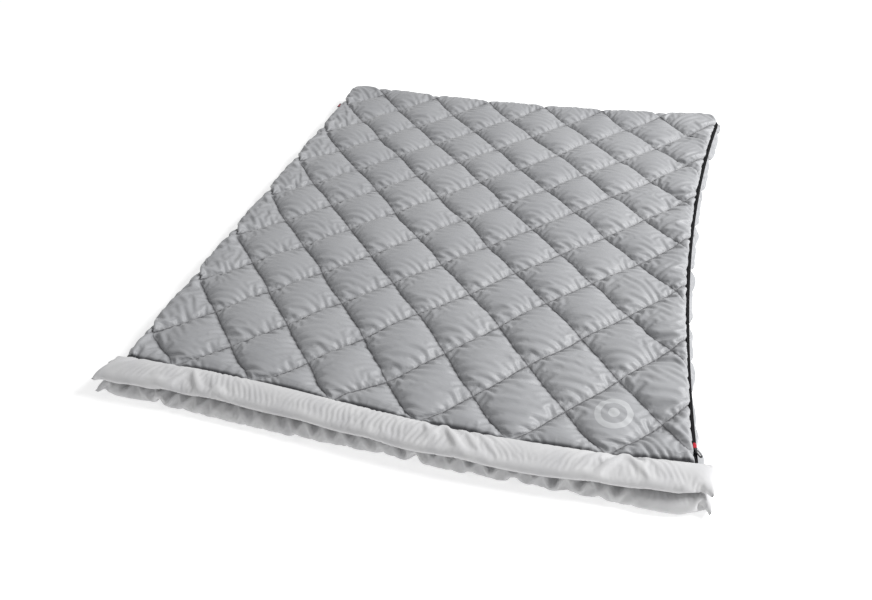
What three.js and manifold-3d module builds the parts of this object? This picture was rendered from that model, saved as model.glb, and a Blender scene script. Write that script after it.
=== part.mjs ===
// Double sleeping bag, closed and lying flat: two quilts that are sewn together along the left side
// and zipped together along the right side and the foot. Millimetres, +Z up. The origin is on the
// floor under the middle of the bag, +X points to the zip side and -Y to the open head end.
import * as THREE from "three";
import { mergeVertices } from "three/addons/utils/BufferGeometryUtils.js";
import Module from "manifold-3d";

const wasm = await Module();
wasm.setup();

// Driving dimensions.
const BAG_WIDTH = 1676; // over the head hems, 66 inches
const BAG_HEIGHT = 100; // two quilts and the slit between them
const QUILT_LOFT = 46; // one quilt, over its puffs
const GAP = 0.3; // between pieces that touch
const MERGE = 0.1; // how far the blocks of one piece run into each other
const SHEET = 2; // shell or liner cloth with its share of the loft
const BATTING = { low: 11, high: 35 }; // the batting's own layer inside the lower quilt

const SEAM_X = -795; // the side seam, about which the upper quilt opens
const SEAM_Z = BAG_HEIGHT / 2;
const HEM_SEAM_Y = -936; // where the quilted shell meets the head hems
const UPPER_HEM_FRONT_Y = -1014;
const LOWER_HEM_FRONT_Y = -1028.5;
// The head end bows out in front of that line: by nothing up to fromX, most at peakX.
const HEAD_BOW = { fromX: -560, peakX: 300, peak: 51, rightX: 820, right: 16, fade: 450 };
const CENTRE_Y = -HEAD_BOW.peak / 2; // the middle of the bag's length, which becomes the origin

const DIAMOND = { width: 246, length: 270 }; // one quilted diamond
const FIRST_COLUMN_X = -641; // a column of crossings that meets the hem seam
const CROSSING_DEPTH = 28; // how far the quilting pulls the shell in

const ZIP = {
  headX: 795, // where the zip line starts at the head
  headY: -925,
  cornerX: 820, // the foot corner, before it is rounded
  cornerY: 1014.6,
  endX: -750, // where it ends at the foot
  sideSag: 62, // how far the side bows in between its ends
  footSag: 50,
  cornerLeg: 60, // how far from the corner its rounding starts
};
const LOWER_EDGE = 14; // the lower quilt stands out past the zip line
const UPPER_EDGE = -8; // the upper quilt stops short of it
// The lower quilt's edge is widest between two heights and stands in under and over them.
const LOWER_ROUND = { foot: 10, low: 12, high: 34, top: 4 };
// The upper quilt's edge is upright up to its shoulder and leans in above it.
const UPPER_ROUND = { shoulder: 30, lean: 16, over: 10 };
const TUBE = { gap: 1, width: 42, depth: 5, rim: 2, corner: 6, head: 30 }; // the draught tube
const COIL = { gap: 0.8, width: 2.6, low: 48.9, high: 51.1, headY: -888, endX: -745 };
const TAPE = { low: 51.4, high: 52.2, inner: -16 };
const SLIDER_Y = -872; // the middle of the slider when the zip is closed
const SLIDER = { length: 22, inner: -6.5, outer: 7, floor: 47.2, roof: 1.4, lug: 2.4 };
const RECESS = { half: 1.6, from: -25, to: -10 }; // the pull's recess, in which its insert lies
// The pull lies flat on the slider, towards the head and a little outward.
const PULL = { n: 3.4, y: -8, z: 57.4, pin: 1, lug: 3.6, eye: 2.6, width: 8, length: 30, yaw: 0.5 };

const UPPER_BASE = BAG_HEIGHT - QUILT_LOFT;

const COLOURS = {
  shell: [0x9a9b9f, 0.45],
  liner: [0xcfd0d2, 0.95],
  batting: [0xf4f4f2, 1.0],
  tape: [0x17171a, 0.85],
  coil: [0x101012, 0.45],
  piping: [0x8b8c90, 0.6],
  metal: [0x2b2b2e, 0.35],
  red: [0xb3182a, 0.4],
  pull: [0x151517, 0.5],
  insert: [0xc9c9c9, 0.5],
  label: [0xb8475a, 0.8],
};

// ---- geometry helpers ----

// A closed geometry as a manifold solid.
function solidOf(geometry) {
  const bare = geometry.clone();
  for (const name of ["normal", "uv"]) bare.deleteAttribute(name);
  const merged = mergeVertices(bare, 1e-4);
  const vertProperties = new Float32Array(merged.attributes.position.array);
  const triVerts = new Uint32Array(merged.index.array);
  return new wasm.Manifold(new wasm.Mesh({ numProp: 3, vertProperties, triVerts }));
}

// A manifold solid as a geometry.
function geometryOf(solid) {
  const mesh = solid.getMesh();
  const geometry = new THREE.BufferGeometry();
  geometry.setAttribute("position", new THREE.BufferAttribute(mesh.vertProperties, 3));
  geometry.setIndex(new THREE.BufferAttribute(mesh.triVerts, 1));
  return geometry;
}

// A closed geometry through rings of [x, y, z] points, each ring with as many points as the next.
// The rings run anticlockwise when they are seen from the last one, and the end rings are capped.
function loft(rings, capOf) {
  const count = rings[0].length;
  const index = [];
  for (let r = 0; r + 1 < rings.length; r++) {
    for (let k = 0; k < count; k++) {
      const a = r * count + k;
      const b = r * count + ((k + 1) % count);
      index.push(a, b, b + count, a, b + count, a + count);
    }
  }
  const last = (rings.length - 1) * count;
  for (const [a, b, c] of THREE.ShapeUtils.triangulateShape(capOf(rings[0]), [])) {
    index.push(a, c, b);
  }
  for (const [a, b, c] of THREE.ShapeUtils.triangulateShape(capOf(rings.at(-1)), [])) {
    index.push(last + a, last + b, last + c);
  }
  const geometry = new THREE.BufferGeometry();
  geometry.setAttribute("position", new THREE.Float32BufferAttribute(rings.flat(2), 3));
  geometry.setIndex(index);
  return geometry;
}

// A solid whose plan outline changes with height: levels are [z, offset from the zip line], inset
// is how far the whole left side stands in from the side seam, and proud how far the head end
// stands out past the hem seam.
function stack(levels, inset = 0, proud = 0) {
  const ringAt = ([z, offset]) => outline(offset, inset, proud).map((p) => [p.x, p.y, z]);
  const rings = levels.map(ringAt);
  return loft(rings, (ring) => ring.map(([x, y]) => new THREE.Vector2(x, y)));
}

// A strip along stations of the zip line: the section's points are [offset, z], anticlockwise
// when seen from the head end of the strip.
function sweep(stations, section) {
  const rings = stations.map(({ p, n }) =>
    section.map(([offset, z]) => [p.x + n.x * offset, p.y + n.y * offset, z]),
  );
  const cap = () => section.map(([offset, z]) => new THREE.Vector2(offset, z));
  return loft(rings.reverse(), cap);
}

// A bar across the head with a section of [y, z] points, which bows out with the head end.
function barAcrossHead(section, x0, x1) {
  const rings = headStations(x0, x1).map((x) => section.map(([y, z]) => [x, bowedY(x, y), z]));
  return loft(rings, (ring) => ring.map(([, y, z]) => new THREE.Vector2(y, z)));
}

function box(x0, x1, y0, y1, z0, z1) {
  const made = new THREE.BoxGeometry(x1 - x0, y1 - y0, z1 - z0);
  return made.translate((x0 + x1) / 2, (y0 + y1) / 2, (z0 + z1) / 2);
}

// ---- the head end's bow ----

function headBow(x) {
  const { fromX, peakX, peak, rightX, right } = HEAD_BOW;
  if (x < peakX) return peak * THREE.MathUtils.smoothstep(x, fromX, peakX);
  return peak - (peak - right) * ((x - peakX) / (rightX - peakX)) ** 2;
}

// Where a point of the straight bag comes to lie: the bow fades out towards the foot.
function bowedY(x, y) {
  return y - headBow(x) * (1 - THREE.MathUtils.smoothstep(y, HEM_SEAM_Y, HEM_SEAM_Y + HEAD_BOW.fade));
}

// Stations across the head from x0 to x1, with the same ones in between for every piece that meets
// there. The last one is for the hems alone, where they stand out past the quilts.
function headStations(x0, x1) {
  const stations = Array.from({ length: 25 }, (_, k) => -720 + 60 * k);
  const between = [...stations, 800].filter((x) => x > x0 + 20 && x < x1 - 20);
  return [x0, ...between, x1];
}

// ---- the zip line and the outlines that follow it ----

// The arc from a to b that bows by sag towards the bag, whose middle is on the left of a-b.
function arcBetween(a, b, sag) {
  const chord = b.clone().sub(a);
  const out = new THREE.Vector2(chord.y, -chord.x).normalize();
  const radius = (chord.lengthSq() / 4 + sag * sag) / (2 * sag);
  const centre = a.clone().add(b).multiplyScalar(0.5).addScaledVector(out, radius - sag);
  const from = a.clone().sub(centre).angle();
  let turn = b.clone().sub(centre).angle() - from;
  if (turn > Math.PI) turn -= 2 * Math.PI;
  if (turn < -Math.PI) turn += 2 * Math.PI;
  const at = (t) => {
    const angle = from + turn * t;
    const n = new THREE.Vector2(-Math.cos(angle), -Math.sin(angle));
    return { p: centre.clone().addScaledVector(n, -radius), n };
  };
  return { at, centre, radius, length: radius * Math.abs(turn) };
}

const zipHead = new THREE.Vector2(ZIP.headX, ZIP.headY);
const zipCorner = new THREE.Vector2(ZIP.cornerX, ZIP.cornerY);
const zipEnd = new THREE.Vector2(ZIP.endX, ZIP.cornerY);
const sideArc = arcBetween(zipHead, zipCorner, ZIP.sideSag);
const footArc = arcBetween(zipCorner, zipEnd, ZIP.footSag);

const SIDE_STEPS = 26;
const CORNER_STEPS = 6;
const FOOT_STEPS = 12;

// Stations from t0 to t1 of an arc.
function stationsOf(arc, t0, t1, steps) {
  return Array.from({ length: steps + 1 }, (_, k) => arc.at(t0 + ((t1 - t0) * k) / steps));
}

// A rounded corner from station a to station b, which aims at the corner point.
function rounding(a, corner, b, steps) {
  return Array.from({ length: steps - 1 }, (_, k) => {
    const t = (k + 1) / steps;
    const p = a.p.clone().multiplyScalar((1 - t) ** 2);
    p.addScaledVector(corner, 2 * t * (1 - t)).addScaledVector(b.p, t * t);
    const way = corner.clone().sub(a.p).multiplyScalar(1 - t);
    way.addScaledVector(b.p.clone().sub(corner), t);
    return { p, n: new THREE.Vector2(way.y, -way.x).normalize() };
  });
}

// The side arc's share of its length at a height y, nearly straight so one division is enough.
const shareAtY = (y) => (y - ZIP.headY) / (ZIP.cornerY - ZIP.headY);
const sideEnd = 1 - ZIP.cornerLeg / sideArc.length;
const footStart = ZIP.cornerLeg / footArc.length;

// The zip line from a height y on the side, round the corner, to a share of the foot.
function zipStations(fromY, footShare = 1) {
  const side = stationsOf(sideArc, shareAtY(fromY), sideEnd, SIDE_STEPS);
  const foot = stationsOf(footArc, footStart, footShare, FOOT_STEPS);
  return [...side, ...rounding(side.at(-1), zipCorner, foot[0], CORNER_STEPS), ...foot];
}

// A quilt's plan outline, anticlockwise, at an offset from the zip line, an inset from the side
// seam and proud of the hem seam.
function outline(offset, inset, proud) {
  const left = SEAM_X + GAP + inset;
  const points = zipStations(HEM_SEAM_Y).map(({ p, n }) => p.clone().addScaledVector(n, offset));
  const headY = HEM_SEAM_Y - proud;
  points[0].y = headY;
  const end = points.at(-1);
  const down = new THREE.Vector2(left, end.y - ZIP.cornerLeg);
  const corner = new THREE.Vector2(left, end.y + 2);
  const turn = rounding({ p: end }, corner, { p: down }, CORNER_STEPS).map(({ p }) => p);
  const head = headStations(left, points[0].x).map((x) => new THREE.Vector2(x, headY));
  const ring = [...head.slice(0, -1), ...points, ...turn, down];
  return ring.map((p) => new THREE.Vector2(p.x, bowedY(p.x, p.y)));
}

// ---- the quilted top surface ----

const columns = { from: -3, to: 15 };
const rows = { from: -1, to: 16 };

// The height of the shell at a half-diamond lattice point: low at crossings, high in between.
function quiltedHeight(i, j, top) {
  const crossing = (i + j) % 2 === 0;
  if (j <= 0) return top - CROSSING_DEPTH / 2;
  return crossing ? top - CROSSING_DEPTH : top;
}

// A block from the height base up to the quilted surface, wider than the quilt on every side.
function quiltedBlock(base, top) {
  const grid = [];
  for (let j = rows.from; j <= rows.to; j++) {
    for (let i = columns.from; i <= columns.to; i++) {
      const x = FIRST_COLUMN_X + (i * DIAMOND.width) / 2;
      const y = HEM_SEAM_Y + (j * DIAMOND.length) / 2;
      grid.push([x, bowedY(x, y), quiltedHeight(i, j, top)]);
    }
  }
  const wide = columns.to - columns.from + 1;
  const long = rows.to - rows.from + 1;
  const index = [];
  const top3 = (a, b, c) => index.push(a, b, c);
  for (let j = 0; j + 1 < long; j++) {
    for (let i = 0; i + 1 < wide; i++) {
      const a = j * wide + i;
      const [b, c, d] = [a + 1, a + wide + 1, a + wide];
      // the cell folds along the diagonal that joins its two crossings
      if ((i + columns.from + j + rows.from) % 2 === 0) {
        top3(a, b, c);
        top3(a, c, d);
      } else {
        top3(a, b, d);
        top3(b, c, d);
      }
    }
  }
  // walls and a flat base under the edge of the grid
  const rim = [];
  for (let i = 0; i < wide; i++) rim.push(i);
  for (let j = 1; j < long; j++) rim.push(j * wide + wide - 1);
  for (let i = wide - 2; i >= 0; i--) rim.push((long - 1) * wide + i);
  for (let j = long - 2; j > 0; j--) rim.push(j * wide);
  const first = grid.length;
  for (const k of rim) grid.push([grid[k][0], grid[k][1], base]);
  rim.forEach((k, n) => {
    const m = (n + 1) % rim.length;
    index.push(k, first + n, first + m, k, first + m, rim[m]);
  });
  const flat = rim.map((k) => new THREE.Vector2(grid[k][0], grid[k][1]));
  for (const [a, b, c] of THREE.ShapeUtils.triangulateShape(flat, [])) {
    index.push(first + a, first + c, first + b);
  }
  const geometry = new THREE.BufferGeometry();
  geometry.setAttribute("position", new THREE.Float32BufferAttribute(grid.flat(), 3));
  geometry.setIndex(index);
  return solidOf(geometry);
}

// ---- pieces ----

const bag = new THREE.Group();
bag.name = "double_sleeping_bag";

function add(name, geometry, colour) {
  const [hex, roughness] = COLOURS[colour];
  const metalness = colour === "metal" ? 0.8 : 0;
  const material = new THREE.MeshStandardMaterial({ color: hex, roughness, metalness });
  const mesh = new THREE.Mesh(geometry, material);
  mesh.name = name;
  bag.add(mesh);
  return mesh;
}

// The lower quilt: a tray of shell cloth, batting in it, and the liner over both.
function lowerQuilt() {
  const linerBase = QUILT_LOFT - SHEET;
  const { foot, low, high, top } = LOWER_ROUND;
  const edge = (inset) => [
    [inset, LOWER_EDGE - foot - inset],
    [low + inset / 2, LOWER_EDGE - inset],
    [high, LOWER_EDGE - inset],
  ];
  const outer = solidOf(stack([...edge(0), [linerBase - GAP, LOWER_EDGE - top]]));
  const inside = [...edge(SHEET), [BAG_HEIGHT, LOWER_EDGE - 2 * top]];
  const hollow = solidOf(stack(inside, SHEET, SHEET));
  add("lower_shell", geometryOf(outer.subtract(hollow)), "shell");
  const inner = SHEET + GAP + top;
  const side = LOWER_EDGE - inner;
  add("lower_fill", stack([[BATTING.low, side], [BATTING.high, side]], inner), "batting");
  const liner = [[linerBase, LOWER_EDGE - top - 1], [QUILT_LOFT, LOWER_EDGE - top - 2]];
  add("lower_liner", stack(liner), "liner");
}

// The upper quilt: the liner below, batting, and the quilted shell with its edge turned down.
function upperQuilt() {
  const shellBase = UPPER_BASE + SHEET + GAP;
  const { shoulder, lean, over } = UPPER_ROUND;
  const envelope = (base, inset, proud = 0) => {
    const levels = [
      [base, UPPER_EDGE - inset],
      [BAG_HEIGHT - shoulder, UPPER_EDGE - inset],
      [BAG_HEIGHT + over, UPPER_EDGE - lean - inset],
    ];
    return solidOf(stack(levels, inset, proud));
  };
  const shell = quiltedBlock(shellBase, BAG_HEIGHT).intersect(envelope(shellBase, 0));
  const below = shellBase - over;
  const room = envelope(below, SHEET, SHEET);
  const hollow = quiltedBlock(below, BAG_HEIGHT - SHEET).intersect(room);
  add("upper_shell", geometryOf(shell.subtract(hollow)), "shell");
  const inner = SHEET + GAP;
  const base = UPPER_BASE + BATTING.low - 4;
  const fill = quiltedBlock(base, BAG_HEIGHT - inner).intersect(envelope(base, inner));
  add("upper_fill", geometryOf(fill), "batting");
  const liner = [[UPPER_BASE, UPPER_EDGE - 2], [UPPER_BASE + SHEET, UPPER_EDGE]];
  add("upper_liner", stack(liner), "liner");
}

// A head hem: the liner cloth turned over a roll of batting, as a D that is round at the front.
function hemSection(frontY, low, high) {
  const middle = (low + high) / 2;
  const half = (high - low) / 2;
  const round = Array.from({ length: 9 }, (_, k) => {
    const angle = Math.PI / 2 + (Math.PI * k) / 8;
    return [frontY + half + half * Math.cos(angle), middle + half * Math.sin(angle)];
  });
  const back = HEM_SEAM_Y - GAP;
  return [[back, low], [back, high], ...round];
}

function headHems() {
  const right = BAG_WIDTH / 2;
  const left = SEAM_X + GAP;
  const upper = hemSection(UPPER_HEM_FRONT_Y, UPPER_BASE, BAG_HEIGHT - 1);
  const lower = hemSection(LOWER_HEM_FRONT_Y, 0, QUILT_LOFT);
  add("lower_hem_band", barAcrossHead(lower, left, right), "liner");
  add("upper_hem_band", barAcrossHead(upper, left, right), "liner");
  // the soft ends of the hems, which bulge out past the side seam
  const reach = -BAG_WIDTH / 2;
  const stop = SEAM_X - GAP;
  const lowerEnd = hemSection(LOWER_HEM_FRONT_Y + 2, 3, QUILT_LOFT - 1);
  const upperEnd = hemSection(UPPER_HEM_FRONT_Y + 2, UPPER_BASE + 1, BAG_HEIGHT - 4);
  add("lower_hem_corner", barAcrossHead(lowerEnd, reach, stop), "liner");
  add("upper_hem_corner", barAcrossHead(upperEnd, reach, stop), "liner");
}

// The side seam's piping lies on the line about which the upper quilt opens.
function sideSeam() {
  const radius = 3;
  const from = HEM_SEAM_Y;
  const to = ZIP.cornerY - ZIP.cornerLeg;
  const piping = new THREE.CylinderGeometry(radius, radius, to - from, 12);
  piping.translate(0, (from + to) / 2, 0).translate(SEAM_X, 0, SEAM_Z);
  add("side_seam_piping", piping, "piping");
  const label = { y: 852, length: 38, proud: 24, thickness: 1.6 };
  const rootX = SEAM_X - radius - GAP;
  const half = label.length / 2;
  const low = SEAM_Z - label.thickness / 2;
  const flag = box(rootX - label.proud, rootX, label.y - half, label.y + half, low, low + label.thickness);
  add("side_label", flag, "label");
}

// The two zip tapes with their coils. The lower tape stands on the lower quilt's edge, and the
// upper one is thicker where the shell's edge is sewn to it.
function zipChain() {
  const far = COIL.gap + COIL.width;
  const stop = { low: COIL.low - 0.4, high: COIL.high, length: 5 };
  const webAt = LOWER_EDGE - 6;
  const stand = QUILT_LOFT + GAP;
  const sewn = UPPER_BASE - GAP;
  const tapeStations = zipStations(ZIP.headY);
  const coilShare = (ZIP.cornerX - COIL.endX) / (ZIP.cornerX - ZIP.endX);
  const coilStations = zipStations(COIL.headY, coilShare);
  const lowerTape = [
    [COIL.gap, TAPE.low],
    [webAt, TAPE.low],
    [webAt, stand],
    [webAt + 0.8, stand],
    [webAt + 0.8, TAPE.high],
    [COIL.gap, TAPE.high],
  ];
  const upperTape = [
    [TAPE.inner, TAPE.low],
    [-COIL.gap, TAPE.low],
    [-COIL.gap, TAPE.high],
    [UPPER_EDGE, TAPE.high],
    [UPPER_EDGE, sewn],
    [TAPE.inner, sewn],
  ];
  const bar = (a, b) => [[a, COIL.low], [b, COIL.low], [b, COIL.high], [a, COIL.high]];
  add("lower_zip_tape", sweep(tapeStations, lowerTape), "tape");
  add("upper_zip_tape", sweep(tapeStations, upperTape), "tape");
  add("lower_zip_coil", sweep(coilStations, bar(COIL.gap, far)), "coil");
  add("upper_zip_coil", sweep(coilStations, bar(-far, -COIL.gap)), "coil");
  // top stops just past the coils' head ends
  const stopAt = sideArc.at(shareAtY(COIL.headY - GAP - stop.length / 2));
  const block = (n0, n1) => {
    const made = box(n0, n1, -stop.length / 2, stop.length / 2, stop.low, stop.high);
    return place(made, stopAt);
  };
  add("lower_top_stop", block(COIL.gap, far + 0.6), "metal");
  add("upper_top_stop", block(-far - 0.6, -COIL.gap), "metal");
  // the box and the pin that start the zip at the far end of the foot
  const startAt = footArc.at(1);
  const piece = (n0, n1, high) =>
    place(box(n0, n1, -GAP, 4.5, COIL.low - 0.6, high), startAt);
  const underTape = TAPE.low - GAP;
  add("zip_bottom_box", piece(COIL.gap, far + 3, underTape), "metal");
  add("zip_insertion_pin", piece(-far, -COIL.gap, underTape), "metal");
}

// Puts a geometry made about the origin, with +X outward, at a station of the zip line.
function place(geometry, { p, n }) {
  const turn = Math.atan2(n.y, n.x);
  return geometry.rotateZ(turn).translate(p.x, p.y, 0);
}

// A padded tube inside the bag, behind the side zip, which keeps the draught out.
function draftTube() {
  const { gap, width, depth, rim, corner, head } = TUBE;
  const outer = TAPE.inner - gap;
  const inner = outer - width;
  const high = UPPER_BASE - GAP;
  const section = [
    [inner, high - rim],
    [inner + corner, high - depth],
    [outer - corner, high - depth],
    [outer, high - rim],
    [outer, high],
    [inner, high],
  ];
  const stations = stationsOf(sideArc, shareAtY(HEM_SEAM_Y + head), sideEnd - 0.01, SIDE_STEPS);
  add("draft_tube", sweep(stations, section), "liner");
}

// The slider. Its channel is open over the upper coil, so that coil can lift straight out.
function zipSlider() {
  const at = sideArc.at(shareAtY(SLIDER_Y));
  const { inner, outer, lug } = SLIDER;
  const half = SLIDER.length / 2;
  const floor = { low: SLIDER.floor, high: COIL.low - GAP };
  const roof = { low: TAPE.high + GAP, high: TAPE.high + GAP + SLIDER.roof };
  const web = COIL.gap - GAP;
  const parts = [
    box(inner, outer, -half, half, floor.low, floor.high),
    box(-web, web, -half, half, floor.high - MERGE, roof.low + MERGE),
    box(-web, outer, -half, half, roof.low, roof.high),
  ];
  // two lugs that hold the pull's pin, turned with the pull
  const lugs = [-1, 1].map((side) => {
    const made = box(-lug / 2, lug / 2, -2, 2, roof.high - MERGE, PULL.z + 2);
    return made.translate(side * PULL.lug, 0, 0).rotateZ(PULL.yaw).translate(PULL.n, PULL.y, 0);
  });
  const lugTop = [...parts, ...lugs].map(solidOf).reduce((a, b) => a.add(b));
  const hole = pinGeometry(PULL.pin + GAP, 2 * (PULL.lug + lug) + 1.2);
  add("slider_body", place(geometryOf(lugTop.subtract(solidOf(hole))), at), "metal");
  add("pull_pin", place(pinGeometry(PULL.pin, 2 * PULL.lug + lug), at), "metal");
  // a plastic plough in front of the lugs, which keeps cloth out of the channel
  const nose = new THREE.Shape();
  nose.moveTo(-0.5, -3.5).lineTo(8.5, -3.5).lineTo(8.5, 8);
  nose.quadraticCurveTo(8, 14, 3, 15).quadraticCurveTo(-0.5, 13, -0.5, 8).closePath();
  const cover = new THREE.ExtrudeGeometry(nose, { depth: 3, bevelEnabled: false, curveSegments: 6 });
  add("slider_plough", place(cover.translate(0, 0, roof.high + GAP), at), "red");
}

// A round bar across the pull's eye.
function pinGeometry(radius, length) {
  const pin = new THREE.CylinderGeometry(radius, radius, length, 12);
  return pin.rotateZ(Math.PI / 2).rotateZ(PULL.yaw).translate(PULL.n, PULL.y, PULL.z);
}

function zipPull() {
  const at = sideArc.at(shareAtY(SLIDER_Y));
  const eyeWidth = 2 * (PULL.lug - SLIDER.lug / 2 - GAP);
  const eye = new THREE.CylinderGeometry(PULL.eye, PULL.eye, eyeWidth, 16).rotateZ(Math.PI / 2);
  const thickness = 2;
  const neck = box(-eyeWidth / 2, eyeWidth / 2, -7, 0, -thickness / 2, thickness / 2);
  const shape = new THREE.Shape();
  const half = PULL.width / 2;
  shape.moveTo(-half, -6).lineTo(-half, -PULL.length + half);
  shape.absarc(0, -PULL.length + half, half, Math.PI, 2 * Math.PI, false);
  shape.lineTo(half, -6).closePath();
  const plate = new THREE.ExtrudeGeometry(shape, {
    depth: thickness,
    bevelEnabled: false,
    curveSegments: 8,
  }).translate(0, 0, -thickness / 2);
  const put = (geometry) => geometry.rotateZ(PULL.yaw).translate(PULL.n, PULL.y, PULL.z);
  let tab = [eye, neck, plate].map((g) => solidOf(put(g))).reduce((a, b) => a.add(b));
  tab = tab.subtract(solidOf(pinGeometry(PULL.pin + GAP, 20)));
  // a block in the recess, gap clear of its walls and floor
  const inRecess = (gap, high) => {
    const wide = RECESS.half - gap;
    return put(box(-wide, wide, RECESS.from + gap, RECESS.to - gap, gap, high));
  };
  tab = tab.subtract(solidOf(inRecess(0, 2 * thickness)));
  add("pull_tab", place(geometryOf(tab), at), "pull");
  add("pull_insert", place(inRecess(GAP, thickness / 2 + 0.4), at), "insert");
}

lowerQuilt();
upperQuilt();
headHems();
sideSeam();
zipChain();
draftTube();
zipSlider();
zipPull();
bag.position.y = -CENTRE_Y;

export default bag;
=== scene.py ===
"""Double sleeping bag: quilted cloth, hems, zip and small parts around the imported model. Metres."""
import math
from concurrent.futures import ThreadPoolExecutor

import bmesh
import bpy
import numpy as np
from mathutils import Matrix, Vector


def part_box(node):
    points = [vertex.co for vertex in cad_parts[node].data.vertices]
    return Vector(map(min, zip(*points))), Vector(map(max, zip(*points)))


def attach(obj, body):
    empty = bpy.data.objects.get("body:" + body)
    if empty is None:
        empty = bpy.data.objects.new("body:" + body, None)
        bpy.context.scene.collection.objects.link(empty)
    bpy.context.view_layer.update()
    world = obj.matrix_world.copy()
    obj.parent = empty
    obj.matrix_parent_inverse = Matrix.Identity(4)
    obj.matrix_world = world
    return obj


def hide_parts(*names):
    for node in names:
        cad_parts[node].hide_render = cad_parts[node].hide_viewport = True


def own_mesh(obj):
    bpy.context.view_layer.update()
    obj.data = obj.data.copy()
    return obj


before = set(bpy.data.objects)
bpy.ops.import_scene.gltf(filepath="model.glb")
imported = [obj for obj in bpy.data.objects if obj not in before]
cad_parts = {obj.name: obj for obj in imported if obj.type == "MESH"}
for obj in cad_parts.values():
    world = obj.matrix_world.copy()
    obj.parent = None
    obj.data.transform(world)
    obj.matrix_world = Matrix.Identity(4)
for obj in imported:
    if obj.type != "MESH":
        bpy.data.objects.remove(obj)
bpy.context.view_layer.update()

# ---- driving dimensions, the same as the model's ----

SEAM_X = -0.795  # the side seam, about which the upper quilt opens
SEAM_Z = 0.05
HEM_Y = -0.9105  # where the quilted shell meets the head hems, but for the head end's bow
PITCH = np.array([0.246, 0.27])  # one quilted diamond
FIRST = np.array([-0.641, HEM_Y])  # a crossing of the seams
SEAM_SPACING = PITCH[0] * PITCH[1] / math.hypot(*PITCH)

ZIP_HEAD = np.array([0.795, -0.8995])
ZIP_CORNER = np.array([0.82, 1.0401])
ZIP_END = np.array([-0.75, 1.0401])
SIDE_SAG = 0.062
FOOT_SAG = 0.05
CORNER_LEG = 0.06
HINGE_GAP = 0.0003  # between the quilts' edges and the side seam's middle
# the head end's bow: where it starts, its peak, its height at the right, and how far back it fades
BOW = dict(from_x=-0.56, peak_x=0.3, peak=0.051, right_x=0.82, right=0.016, fade=0.45)

UPPER_EDGE = -0.008  # the upper quilt stops short of the zip line
LOWER_EDGE = 0.0084  # the lower quilt is sewn to its tape past the zip line

# ---- the head end's bow ----


def smooth_step(x, low, high):
    t = np.clip((np.asarray(x) - low) / (high - low), 0, 1)
    return t * t * (3 - 2 * t)


def head_bow(x):
    """How far the head end bows out in front of the straight hem line."""
    rise = BOW["peak"] * smooth_step(x, BOW["from_x"], BOW["peak_x"])
    past = np.maximum(x - BOW["peak_x"], 0) / (BOW["right_x"] - BOW["peak_x"])
    return rise - (BOW["peak"] - BOW["right"]) * past**2


def bowed(x, y):
    """Where a straight bag's y comes to lie: the bow fades out towards the foot."""
    return y - head_bow(x) * (1 - smooth_step(y, HEM_Y, HEM_Y + BOW["fade"]))


# ---- the zip line and the outlines that follow it ----


class Arc:
    """The arc from a to b that bows by sag towards the bag."""

    def __init__(self, a, b, sag):
        chord = b - a
        size = math.hypot(*chord)
        out = np.array([chord[1], -chord[0]]) / size
        self.radius = (size**2 / 4 + sag**2) / (2 * sag)
        self.centre = (a + b) / 2 + out * (self.radius - sag)
        self.start = math.atan2(*(a - self.centre)[::-1])
        turn = math.atan2(*(b - self.centre)[::-1]) - self.start
        self.turn = (turn + math.pi) % (2 * math.pi) - math.pi
        self.length = self.radius * abs(self.turn)

    def at(self, share):
        """Points and outward normals at shares of the arc's length."""
        angle = self.start + self.turn * np.asarray(share, float)
        normal = -np.stack([np.cos(angle), np.sin(angle)], -1)
        return self.centre - normal * self.radius, normal


SIDE = Arc(ZIP_HEAD, ZIP_CORNER, SIDE_SAG)
FOOT = Arc(ZIP_CORNER, ZIP_END, FOOT_SAG)


def side_share(y):
    return (y - ZIP_HEAD[1]) / (ZIP_CORNER[1] - ZIP_HEAD[1])


def bezier(a, corner, b, count):
    t = np.linspace(0, 1, count + 2)[1:-1, None]
    return (1 - t) ** 2 * a + 2 * t * (1 - t) * corner + t**2 * b


def outward(points):
    """Unit normals to the right of the way that the points go."""
    way = np.gradient(points, axis=0)
    normal = np.stack([way[:, 1], -way[:, 0]], -1)
    return normal / np.linalg.norm(normal, axis=1, keepdims=True)


def zip_line(from_y, foot_share=1.0, step=0.008):
    """The zip line from a height y on the side, round the corner and along the foot."""
    side_end = 1 - CORNER_LEG / SIDE.length
    foot_start = CORNER_LEG / FOOT.length
    first = side_share(from_y)
    side_count = max(2, round((side_end - first) * SIDE.length / step))
    foot_count = max(2, round((foot_share - foot_start) * FOOT.length / step))
    side = SIDE.at(np.linspace(first, side_end, side_count))[0]
    foot = FOOT.at(np.linspace(foot_start, foot_share, foot_count))[0]
    turn = bezier(side[-1], ZIP_CORNER, foot[0], max(3, round(0.09 / step)))
    points = np.concatenate([side, turn, foot])
    return points, outward(points)


def quilt_outline(offset, beyond=0.15):
    """A quilt's plan outline, anticlockwise from right of the head to left of it."""
    line, normal = zip_line(HEM_Y - beyond)
    line = line + normal * offset
    end = line[-1]
    left = SEAM_X + HINGE_GAP
    down = np.array([left, end[1] - CORNER_LEG])
    turn = bezier(end, np.array([left, end[1] + 0.002]), down, 10)
    straight = np.linspace(down, [left, HEM_Y - beyond], 240)
    points = np.concatenate([line, turn, straight])
    return points, outward(points)


def nearest(points, line, batch=4096):
    """The index of the nearest point of the line to each point, worked out in batches."""
    out = np.empty(len(points), int)
    for k in range(0, len(points), batch):
        part = points[k : k + batch]
        far = (part[:, None, 0] - line[None, :, 0]) ** 2
        far += (part[:, None, 1] - line[None, :, 1]) ** 2
        out[k : k + batch] = far.argmin(1)
    return out


# ---- noise ----


NOISE_SIZE = 97  # the noise repeats after so many bumps


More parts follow.
